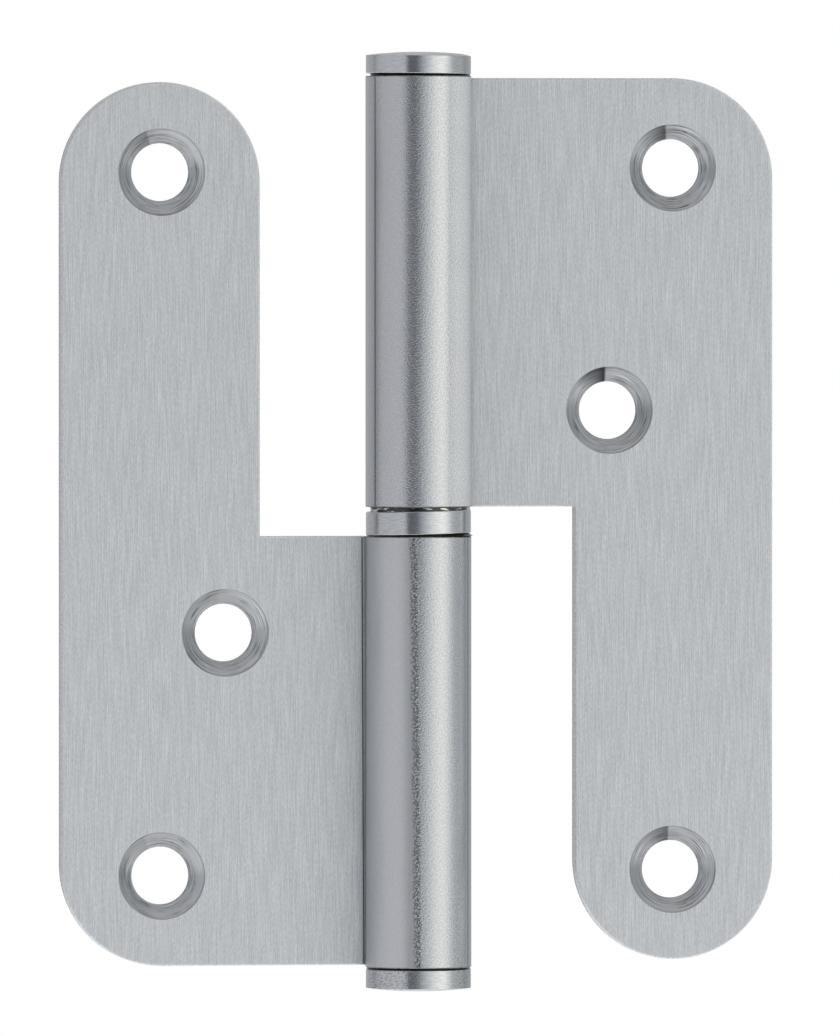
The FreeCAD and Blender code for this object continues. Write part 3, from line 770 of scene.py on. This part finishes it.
def rolling_tree(finishes):
    """Bends a flat blank twice: its end rolls towards the front round the pin, then all of it is
    cranked back out of the leaf's plane. Each bend has its start, length, radius and centre."""
    tree = bpy.data.node_groups.new("sheet_rolling", "GeometryNodeTree")
    tree.interface.new_socket("Geometry", in_out="INPUT", socket_type="NodeSocketGeometry")
    for bend in ("Roll", "Crank"):
        for value in ("start", "length", "radius", "centre"):
            tree.interface.new_socket(
                "{} {}".format(bend, value), in_out="INPUT", socket_type="NodeSocketFloat"
            )
    tree.interface.new_socket("Geometry", in_out="OUTPUT", socket_type="NodeSocketGeometry")
    given = add_node(tree, "NodeGroupInput").outputs
    run = add_node(tree, "GeometryNodeInputNamedAttribute", {"Name": RUN}, data_type="FLOAT")
    geometry = given["Geometry"]
    for bend, sense in (("Roll", -1.0), ("Crank", 1.0)):
        beyond = add_node(tree, "ShaderNodeMath", {
            0: run.outputs["Attribute"], 1: given[bend + " start"],
        }, operation="SUBTRACT")
        taken = add_node(tree, "ShaderNodeClamp", {
            "Value": beyond.outputs[0], "Min": 0.0, "Max": given[bend + " length"],
        })
        turned = add_node(tree, "ShaderNodeMath", {
            0: taken.outputs[0], 1: given[bend + " radius"],
        }, operation="DIVIDE")
        angle = add_node(tree, "ShaderNodeMath", {
            0: turned.outputs[0], 1: sense,
        }, operation="MULTIPLY")
        back = add_node(tree, "ShaderNodeMath", {
            0: taken.outputs[0], 1: -1.0,
        }, operation="MULTIPLY")
        drawn_back = add_node(tree, "ShaderNodeCombineXYZ", {"X": back.outputs[0]})
        place = add_node(tree, "GeometryNodeInputPosition")
        moved = add_node(tree, "ShaderNodeVectorMath", {
            0: place.outputs[0], 1: drawn_back.outputs[0],
        }, operation="ADD")
        centre = add_node(tree, "ShaderNodeCombineXYZ", {
            "X": given[bend + " start"], "Y": given[bend + " centre"],
        })
        bent = add_node(tree, "ShaderNodeVectorRotate", {
            "Vector": moved.outputs[0], "Center": centre.outputs[0],
            "Axis": (0.0, 0.0, 1.0), "Angle": angle.outputs[0],
        }, rotation_type="AXIS_ANGLE")
        geometry = add_node(tree, "GeometryNodeSetPosition", {
            "Geometry": geometry, "Position": bent.outputs[0],
        }).outputs[0]
    geometry = add_node(tree, "GeometryNodeRealizeInstances", {"Geometry": geometry}).outputs[0]
    finish = add_node(tree, "GeometryNodeInputNamedAttribute", {"Name": FINISH}, data_type="INT")
    for number, material in enumerate(finishes):
        chosen = add_node(tree, "FunctionNodeCompare", {
            2: finish.outputs["Attribute"], 3: number,
        }, data_type="INT", operation="EQUAL")
        geometry = add_node(tree, "GeometryNodeSetMaterial", {
            "Geometry": geometry, "Selection": chosen.outputs[0], "Material": material,
        }).outputs[0]
    add_node(tree, "NodeGroupOutput", {"Geometry": geometry})
    return tree


def make_leaf(name, node, body, tree, laps, scuffed, turned_over):
    """One leaf: stamped flat, rolled, moved behind the pin's axis and turned over if asked."""
    piece = new_piece(name, leaf_blank(name, laps, scuffed))
    crank = CRANK_RADIUS * CRANK_ANGLE
    shape_with(piece, tree, {
        "Roll start": crank + neck_length() - NECK_START,
        "Roll length": BORE_RADIUS * ROLL_ANGLE + TIP_ROUNDING,
        "Roll radius": BORE_RADIUS,
        "Roll centre": -BORE_RADIUS,
        "Crank start": -NECK_START,
        "Crank length": crank,
        "Crank radius": CRANK_RADIUS,
        "Crank centre": CRANK_RADIUS,
    })
    side = -1 if turned_over else 1
    for vert in piece.data.vertices:
        vert.co = (side * vert.co.x, vert.co.y + LEAF_OFFSET, side * vert.co.z)
    piece.data.update()
    shade(piece, sharpest_degrees=35)
    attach(piece, body)
    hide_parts(node)


# Turned pieces


def turning_tree(material):
    """Turns the piece's own profile, a row of points in the XZ plane, round the Z axis."""
    tree = bpy.data.node_groups.new("turning_" + material.name, "GeometryNodeTree")
    for value, kind in (
        ("Geometry", "Geometry"), ("Steps", "Int"), ("Points", "Int"), ("Rim radius", "Float"),
    ):
        tree.interface.new_socket(value, in_out="INPUT", socket_type="NodeSocket" + kind)
    tree.interface.new_socket("Geometry", in_out="OUTPUT", socket_type="NodeSocketGeometry")
    given = add_node(tree, "NodeGroupInput").outputs
    across = add_node(tree, "ShaderNodeMath", {0: given["Steps"], 1: 1.0}, operation="ADD")
    grid = add_node(tree, "GeometryNodeMeshGrid", {
        "Vertices X": given["Points"], "Vertices Y": across.outputs[0],
    })
    index = add_node(tree, "GeometryNodeInputIndex")
    step = add_node(tree, "ShaderNodeMath", {
        0: index.outputs[0], 1: across.outputs[0],
    }, operation="MODULO")
    quotient = add_node(tree, "ShaderNodeMath", {
        0: index.outputs[0], 1: across.outputs[0],
    }, operation="DIVIDE")
    row = add_node(tree, "ShaderNodeMath", {0: quotient.outputs[0]}, operation="FLOOR")
    profile_place = add_node(tree, "GeometryNodeInputPosition")
    picked = add_node(tree, "GeometryNodeSampleIndex", {
        "Geometry": given["Geometry"], "Value": profile_place.outputs[0], "Index": row.outputs[0],
    }, data_type="FLOAT_VECTOR", domain="POINT")
    parts = add_node(tree, "ShaderNodeSeparateXYZ", {0: picked.outputs[0]})
    share = add_node(tree, "ShaderNodeMath", {
        0: step.outputs[0], 1: given["Steps"],
    }, operation="DIVIDE")
    angle = add_node(tree, "ShaderNodeMath", {0: share.outputs[0], 1: TURN}, operation="MULTIPLY")
    turned = add_node(tree, "ShaderNodeVectorRotate", {
        "Vector": picked.outputs[0], "Axis": (0.0, 0.0, 1.0), "Angle": angle.outputs[0],
    }, rotation_type="AXIS_ANGLE")
    # the profile's painted joint shade, carried round with it
    profile_shade = add_node(tree, "GeometryNodeInputNamedAttribute", {
        "Name": JOINT_SHADE,
    }, data_type="FLOAT")
    sampled_shade = add_node(tree, "GeometryNodeSampleIndex", {
        "Geometry": given["Geometry"], "Value": profile_shade.outputs["Attribute"],
        "Index": row.outputs[0],
    }, data_type="FLOAT", domain="POINT")
    across_marks = add_node(tree, "ShaderNodeMath", {
        0: parts.outputs["X"], 1: parts.outputs["Z"],
    }, operation="ADD")
    along_marks = add_node(tree, "ShaderNodeMath", {
        0: angle.outputs[0], 1: given["Rim radius"],
    }, operation="MULTIPLY")
    grain = add_node(tree, "ShaderNodeCombineXYZ", {
        "X": across_marks.outputs[0], "Y": along_marks.outputs[0],
    })
    on_points = add_node(tree, "GeometryNodeFieldOnDomain", {
        "Value": grain.outputs[0],
    }, data_type="FLOAT_VECTOR", domain="POINT")
    marked = add_node(tree, "GeometryNodeStoreNamedAttribute", {
        "Geometry": grid.outputs["Mesh"], "Name": GRAIN, "Value": on_points.outputs[0],
    }, data_type="FLOAT2", domain="CORNER")
    shaded_profile = add_node(tree, "GeometryNodeStoreNamedAttribute", {
        "Geometry": marked.outputs[0], "Name": JOINT_SHADE, "Value": sampled_shade.outputs[0],
    }, data_type="FLOAT", domain="POINT")
    placed = add_node(tree, "GeometryNodeSetPosition", {
        "Geometry": shaded_profile.outputs[0], "Position": turned.outputs[0],
    })
    closed = add_node(tree, "GeometryNodeMergeByDistance", {
        "Geometry": placed.outputs[0], "Distance": 0.001 * MM,
    })
    realized = add_node(tree, "GeometryNodeRealizeInstances", {"Geometry": closed.outputs[0]})
    coated = add_node(tree, "GeometryNodeSetMaterial", {
        "Geometry": realized.outputs[0], "Material": material,
    })
    add_node(tree, "NodeGroupOutput", {"Geometry": coated.outputs[0]})
    return tree


TURNING_STEPS = 160
BOSS_HEIGHT = 0.4 * MM             # of the ring's boss in the frame
DARK_FILL_HEIGHT = 0.55 * MM          # up to which the ring's boss, painted dark as shade, fills the gap over the ring
DARK_FILL_SPREAD = 0.45 * MM          # how much further it reaches on the right
SHOULDER_RADIUS = 6.0 * MM         # of the upper plug's shoulder and the boss, dark-painted fill and all
LOWER_SHOULDER_RADIUS = 6.45 * MM  # the same on the lower plug
UPPER_GROOVE = 0.3 * MM            # between the plug's head and the knuckle
LOWER_GROOVE = 0.2 * MM
RING_SEAT = 6.35 * MM              # the radius up to which the ring lies on the knuckle
RING_FOOT = 0.04 * MM              # how far its rim stands off the knuckle


def rounded(points, radius):
    """A profile with all but its end points rounded in three short steps."""
    smooth = [Vector(points[0])]
    for before, spot, after in zip(points, points[1:], points[2:]):
        spot = Vector(spot)
        back = (Vector(before) - spot).normalized() * radius
        ahead = (Vector(after) - spot).normalized() * radius
        for share in (0.0, 0.33, 0.67, 1.0):
            smooth.append(spot + back * (1 - share) ** 2 + ahead * share ** 2)
    smooth.append(Vector(points[-1]))
    return smooth


def crown(radius, height, rise, steps=8):
    """Points of a shallow dome from its rim in to the axis."""
    return [
        (radius * (1 - step / steps), height + rise * (1 - (1 - step / steps) ** 2))
        for step in range(1, steps + 1)
    ]


def make_turned(
    name, node, body, tree, profile, painted_joint_shade=(), flipped=False, closed=False,
    lean=0.0, leaning_from=0.0,
):
    """A turned piece from its profile: (radius, height) pairs, from the axis or round a ring.
    Each entry of the joint-shade list is painted shade in a joint: its lowest and highest place, its
    least distance in from the rim and how strong it is. With a lean, all beyond leaning_from climbs at
    that angle towards +X, and the dark-painted wall at that radius reaches further out there."""
    way = -1 if flipped else 1
    if closed:
        profile = profile + profile[:1]
    rim = max(radius for radius, _ in profile)
    foot = min(height for _, height in profile)
    mesh = bpy.data.meshes.new(name)
    mesh.from_pydata(
        [(radius, 0.0, way * height) for radius, height in profile],
        [(index, index + 1) for index in range(len(profile) - 1)], [],
    )
    joint_shade = mesh.attributes.new(JOINT_SHADE, "FLOAT", "POINT")
    for index, (radius, height) in enumerate(profile):
        for low, high, inset, shade_strength in painted_joint_shade:
            if low <= height <= high and rim - radius >= inset:
                joint_shade.data[index].value = shade_strength
    piece = new_piece(name, mesh)
    shape_with(piece, tree, {
        "Steps": TURNING_STEPS, "Points": len(profile), "Rim radius": rim,
    })
    hair = 0.05 * MM
    work = bmesh.new()
    work.from_mesh(piece.data)
    for vert in work.verts:
        distance = vert.co.xy.length
        if lean and distance > leaning_from + hair and vert.co.z > foot + RING_FOOT / 2:
            vert.co.z += (rim + vert.co.x) * math.tan(lean)
        elif lean and distance > leaning_from - hair:
            vert.co.x += (1 + vert.co.x / distance) / 2 * DARK_FILL_SPREAD
    bmesh.ops.recalc_face_normals(work, faces=work.faces)
    work.to_mesh(piece.data)
    work.free()
    shade(piece, sharpest_degrees=30)
    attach(piece, body)
    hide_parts(node)


def plug_profile(groove, shoulder):
    """The upper plug: a crowned head over the knuckle's end, a shoulder that seats on the knuckle
    and a spigot in its bore. The groove's height and the shoulder's radius are given."""
    inside_the_frame = 0.0005 * MM
    top = corner("upper_cap", 1, "z") - inside_the_frame
    foot = corner("upper_cap", 0, "z")
    rim = corner("upper_cap", 1, "x")
    seat = corner("upper_leaf", 1, "z")
    rise = 0.4 * MM
    edge = 0.05 * MM
    edge_rise = 0.01 * MM
    under = seat + groove
    under_edge = 0.1 * MM
    lead = 0.6 * MM
    profile = rounded([
        (0.0, foot),
        (BORE_RADIUS - lead, foot),
        (BORE_RADIUS, foot + lead),
        (BORE_RADIUS, seat),
        (shoulder, seat),
        (shoulder, under),
        (rim - under_edge, under),
        (rim, under + under_edge),
        (rim, top - rise - edge),
        (rim - edge, top - rise),
        (rim - 2 * edge, top - rise + edge_rise),
    ], 0.03 * MM)
    return profile + crown(rim - 2 * edge, top - rise + edge_rise, rise - edge_rise)


def ring_profile():
    """The bearing ring, bevelled at its corners, with the low boss on top; the rim's foot stands
    a hair off the knuckle."""
    low = corner("bearing_ring", 0, "z")
    boss = corner("bearing_ring", 1, "z")
    high = boss - BOSS_HEIGHT
    rim = corner("bearing_ring", 1, "x")
    bore = 4.15 * MM
    bevel = 0.12 * MM
    middle = (bore + rim) / 2
    return rounded([
        (middle, low),
        (RING_SEAT, low),
        (RING_SEAT, low + RING_FOOT),
        (rim - bevel, low + RING_FOOT),
        (rim, low + RING_FOOT + bevel),
        (rim, high - bevel),
        (rim - bevel, high),
        (SHOULDER_RADIUS, high),
        (SHOULDER_RADIUS, high + DARK_FILL_HEIGHT),
        (bore + bevel, high + DARK_FILL_HEIGHT),
        (bore, boss - bevel),
        (bore, low + bevel),
        (bore + bevel, low),
        (middle - 0.3 * MM, low),
    ], 0.03 * MM)


def pin_profile():
    """The pin: pressed shank, shoulder, running length and domed tip."""
    foot = corner("hinge_pin", 0, "z")
    tip = corner("hinge_pin", 1, "z")
    running = 4.0 * MM
    lead = 0.5 * MM
    shank_top = foot + 38.0 * MM
    dome_radius = 8.0 * MM
    dome = dome_radius - math.sqrt(dome_radius ** 2 - running ** 2)
    profile = rounded([
        (0.0, foot),
        (BORE_RADIUS - lead, foot),
        (BORE_RADIUS, foot + lead),
        (BORE_RADIUS, shank_top),
        (running, shank_top + 0.3 * MM),
        (running, tip - dome),
    ], 0.05 * MM)
    return profile + crown(running, tip - dome, dome)


# Studio

TENT_RADIUS = 2.5
TENT_LOW = -0.41
TENT_HIGH = 2.6
ROOF_GLOW = 0.6       # what steel sees overhead
ROOF_LIGHT = 1.9      # what the floor gets from there
GLOW = "glow"


def white_world():
    """Pale light from all round; the camera and reflections see it as the white background."""
    world = bpy.data.worlds.new("white_studio")
    bpy.context.scene.world = world
    world.use_nodes = True
    tree = world.node_tree
    tree.nodes.clear()
    path = add_node(tree, "ShaderNodeLightPath")
    seen = path.outputs["Is Camera Ray"]
    for ray in ("Is Glossy Ray", "Is Transmission Ray"):
        seen = add_node(tree, "ShaderNodeMath", {
            0: seen, 1: path.outputs[ray],
        }, operation="MAXIMUM").outputs[0]
    soft = add_node(tree, "ShaderNodeBackground", {"Color": linear("#F4F5F6"), "Strength": 0.8})
    white = add_node(tree, "ShaderNodeBackground", {"Color": linear("#FFFFFF"), "Strength": 1.0})
    both = add_node(tree, "ShaderNodeMixShader", {
        0: seen, 1: soft.outputs[0], 2: white.outputs[0],
    })
    add_node(tree, "ShaderNodeOutputWorld", {"Surface": both.outputs[0]})


def pale_floor():
    """A plain pale floor well below the hinge, which hangs free as on its door."""
    mesh = bpy.data.meshes.new("floor")
    work = bmesh.new()
    bmesh.ops.create_circle(work, cap_ends=True, segments=96, radius=TENT_RADIUS)
    bmesh.ops.translate(work, verts=work.verts, vec=(0.0, 0.0, TENT_LOW))
    work.to_mesh(mesh)
    work.free()
    floor = new_piece("floor", mesh)
    material = bpy.data.materials.new("pale_paper")
    material.use_nodes = True
    tree = material.node_tree
    tree.nodes.clear()
    paper = add_node(tree, "ShaderNodeBsdfDiffuse", {"Color": linear("#F6F6F6")})
    add_node(tree, "ShaderNodeOutputMaterial", {"Surface": paper.outputs[0]})
    mesh.materials.append(material)


# The light tent's wall by compass, in degrees from the front (-Y) towards +X: how bright it is
# there, where white is 1, and its tint. It runs evenly from one to the next
TENT = (
    (-180, 0.55, "#FBFCFF"),
    (-124, 0.52, "#F8FAFF"),
    (-122, 0.38, "#F8FAFF"),
    (-118, 0.38, "#F8FAFF"),
    (-115, 0.54, "#F8FAFF"),
    (-98, 0.63, "#F8FAFF"),
    (-50, 0.69, "#F8FAFF"),
    (-33, 0.66, "#F8FAFF"),
    (-32, 0.19, "#E9F0FF"),
    (-9, 0.21, "#E9F0FF"),
    (-4, 0.38, "#F1F8FF"),
    (2, 0.54, "#F4FBFF"),
    (15, 0.80, "#FAFEFF"),
    (24, 1.00, "#FFFFFF"),
    (35, 1.19, "#FFFFFB"),
    (43, 1.29, "#FFFFFA"),
    (50, 1.29, "#FFFFFA"),
    (58, 1.14, "#FFFFFB"),
    (66, 0.88, "#FDFFFF"),
    (74, 0.62, "#F8FDFF"),
    (86, 0.56, "#F8FDFF"),
    (110, 0.52, "#F9FFFD"),
    (112, 0.4, "#F9FFFD"),
    (116, 0.4, "#F9FFFD"),
    (118, 0.46, "#F9FCFF"),
    (180, 0.55, "#FBFCFF"),
)


def tent_glow(azimuth):
    """The wall's colour there, linear, brightness and all."""
    for (start, from_glow, from_tint), (end, to_glow, to_tint) in zip(TENT, TENT[1:]):
        if start <= azimuth <= end:
            share = (azimuth - start) / (end - start)
            glow = from_glow + (to_glow - from_glow) * share
            pairs = zip(linear(from_tint)[:3], linear(to_tint)[:3])
            return [glow * (low + (high - low) * share) for low, high in pairs] + [1.0]


def light_tent():
    """The glowing wall and roof round the hinge, with a dark slot just left of where the camera
    looks in. The camera itself looks through them."""
    mesh = bpy.data.meshes.new("light_tent")
    work = bmesh.new()
    glow = work.verts.layers.float_color.new(GLOW)
    columns = sorted({start for start, _, _ in TENT} | set(range(-180, 181, 5)))
    rims = []
    for azimuth in columns:
        angle = math.radians(azimuth)
        column = []
        for height in (TENT_LOW, TENT_HIGH):
            vert = work.verts.new((
                TENT_RADIUS * math.sin(angle), -TENT_RADIUS * math.cos(angle), height,
            ))
            vert[glow] = tent_glow(azimuth)
            column.append(vert)
        rims.append(column)
    for first, second in zip(rims, rims[1:]):
        work.faces.new((first[0], second[0], second[1], first[1]))
    roof_rim = [work.verts.new(column[1].co) for column in rims[:-1]]
    for vert in roof_rim:
        vert[glow] = [ROOF_GLOW, ROOF_GLOW, ROOF_GLOW, 1.0]
    roof = work.faces.new(roof_rim)
    roof.material_index = 1
    work.to_mesh(mesh)
    work.free()
    for name in ("tent_wall", "tent_roof"):
        material = bpy.data.materials.new(name)
        material.use_nodes = True
        tree = material.node_tree
        tree.nodes.clear()
        colour = add_node(tree, "ShaderNodeAttribute", attribute_name=GLOW)
        light = add_node(tree, "ShaderNodeEmission", {
            "Color": colour.outputs["Color"], "Strength": 1.0,
        })
        if name == "tent_roof":
            path = add_node(tree, "ShaderNodeLightPath")
            strength = add_node(tree, "ShaderNodeMapRange", {
                "Value": path.outputs["Is Glossy Ray"], "To Min": ROOF_LIGHT / ROOF_GLOW, "To Max": 1.0,
            })
            tree.links.new(strength.outputs["Result"], light.inputs["Strength"])
        add_node(tree, "ShaderNodeOutputMaterial", {"Surface": light.outputs[0]})
        mesh.materials.append(material)
    tent = new_piece("light_tent", mesh)
    tent.visible_camera = False
    tent.visible_shadow = False


CAMERA_AZIMUTH = math.radians(-7.3)
CAMERA_ELEVATION = math.radians(0.9)
CAMERA_DISTANCE = 2.2
PHOTO_HEIGHT = 1036              # pixels
PHOTO_SCALE = 8.025 / MM         # pixels per metre at the pin
SENSOR = 36.0                    # mm, the frame's height
AIM = (0.2 * MM, 0.44 * MM)      # the frame's middle lies right of and above the hinge's


def place_camera():
    """A long lens at the photograph's viewing angle."""
    data = bpy.data.cameras.new("camera")
    data.sensor_fit = "VERTICAL"
    data.sensor_height = SENSOR
    data.lens = SENSOR * CAMERA_DISTANCE * PHOTO_SCALE / PHOTO_HEIGHT
    data.clip_start = 0.05
    camera = bpy.data.objects.new("camera", data)
    bpy.context.scene.collection.objects.link(camera)
    outwards = Vector((
        math.sin(CAMERA_AZIMUTH) * math.cos(CAMERA_ELEVATION),
        -math.cos(CAMERA_AZIMUTH) * math.cos(CAMERA_ELEVATION),
        math.sin(CAMERA_ELEVATION),
    ))
    turn = outwards.to_track_quat("Z", "Y")
    aim = turn @ Vector((AIM[0], AIM[1], 0.0))
    camera.rotation_mode = "QUATERNION"
    camera.rotation_quaternion = turn
    camera.location = aim + outwards * CAMERA_DISTANCE
    bpy.context.scene.camera = camera


# The hinge

finishes = [
    brushed_stainless_sheet(),
    ground_stainless_roll(),
    sheared_stainless_edge(),
    countersunk_stainless(),
]
rolling = rolling_tree(finishes)
turning = turning_tree(turned_stainless())
pin_turning = turning_tree(drawn_steel_pin())

# Each hole's cutter mark: its angle round the hole in degrees and how dark it is
LOWER_LAPS = ((112, 0.45), (100, 0.1), (116, 0.2))
UPPER_LAPS = ((-83, 0.7), (-84, 1.0), (-82, 0.85))

make_leaf(
    "lower_leaf_steel", "lower_leaf", "lower", rolling, LOWER_LAPS, scuffed=1.0, turned_over=False,
)
make_leaf(
    "upper_leaf_steel", "upper_leaf", "upper", rolling, UPPER_LAPS, scuffed=0.0, turned_over=True,
)

ring_low = corner("bearing_ring", 0, "z")
ring_high = corner("bearing_ring", 1, "z") - BOSS_HEIGHT
# The ring's boss and foot are painted dark as shade, the boss with painted glints of light
make_turned(
    "bearing_ring_steel", "bearing_ring", "ring", turning, ring_profile(),
    painted_joint_shade=(
        (ring_high - 0.02 * MM, ring_high + DARK_FILL_HEIGHT, 0.13 * MM, GLINTING_SHADE),
        (ring_low, ring_low + RING_FOOT, 0.11 * MM, 1.0),
    ),
    closed=True, lean=math.radians(1.4), leaning_from=SHOULDER_RADIUS,
)
# painted shade in the groove under each plug's head
head_low = corner("upper_leaf", 1, "z") - 0.01 * MM
plug_groove_shade = ((head_low, head_low + 0.34 * MM, 0.06 * MM, 1.0),)
make_turned(
    "upper_plug_steel", "upper_cap", "upper", turning,
    plug_profile(UPPER_GROOVE, SHOULDER_RADIUS), painted_joint_shade=plug_groove_shade,
    lean=math.radians(-0.6), leaning_from=SHOULDER_RADIUS,
)
make_turned(
    "lower_plug_steel", "lower_cap", "lower", turning,
    plug_profile(LOWER_GROOVE, LOWER_SHOULDER_RADIUS), painted_joint_shade=plug_groove_shade,
    flipped=True,
)
make_turned("hinge_pin_steel", "hinge_pin", "lower", pin_turning, pin_profile())

white_world()
pale_floor()
light_tent()
place_camera()
bpy.context.scene.view_settings.view_transform = "Standard"
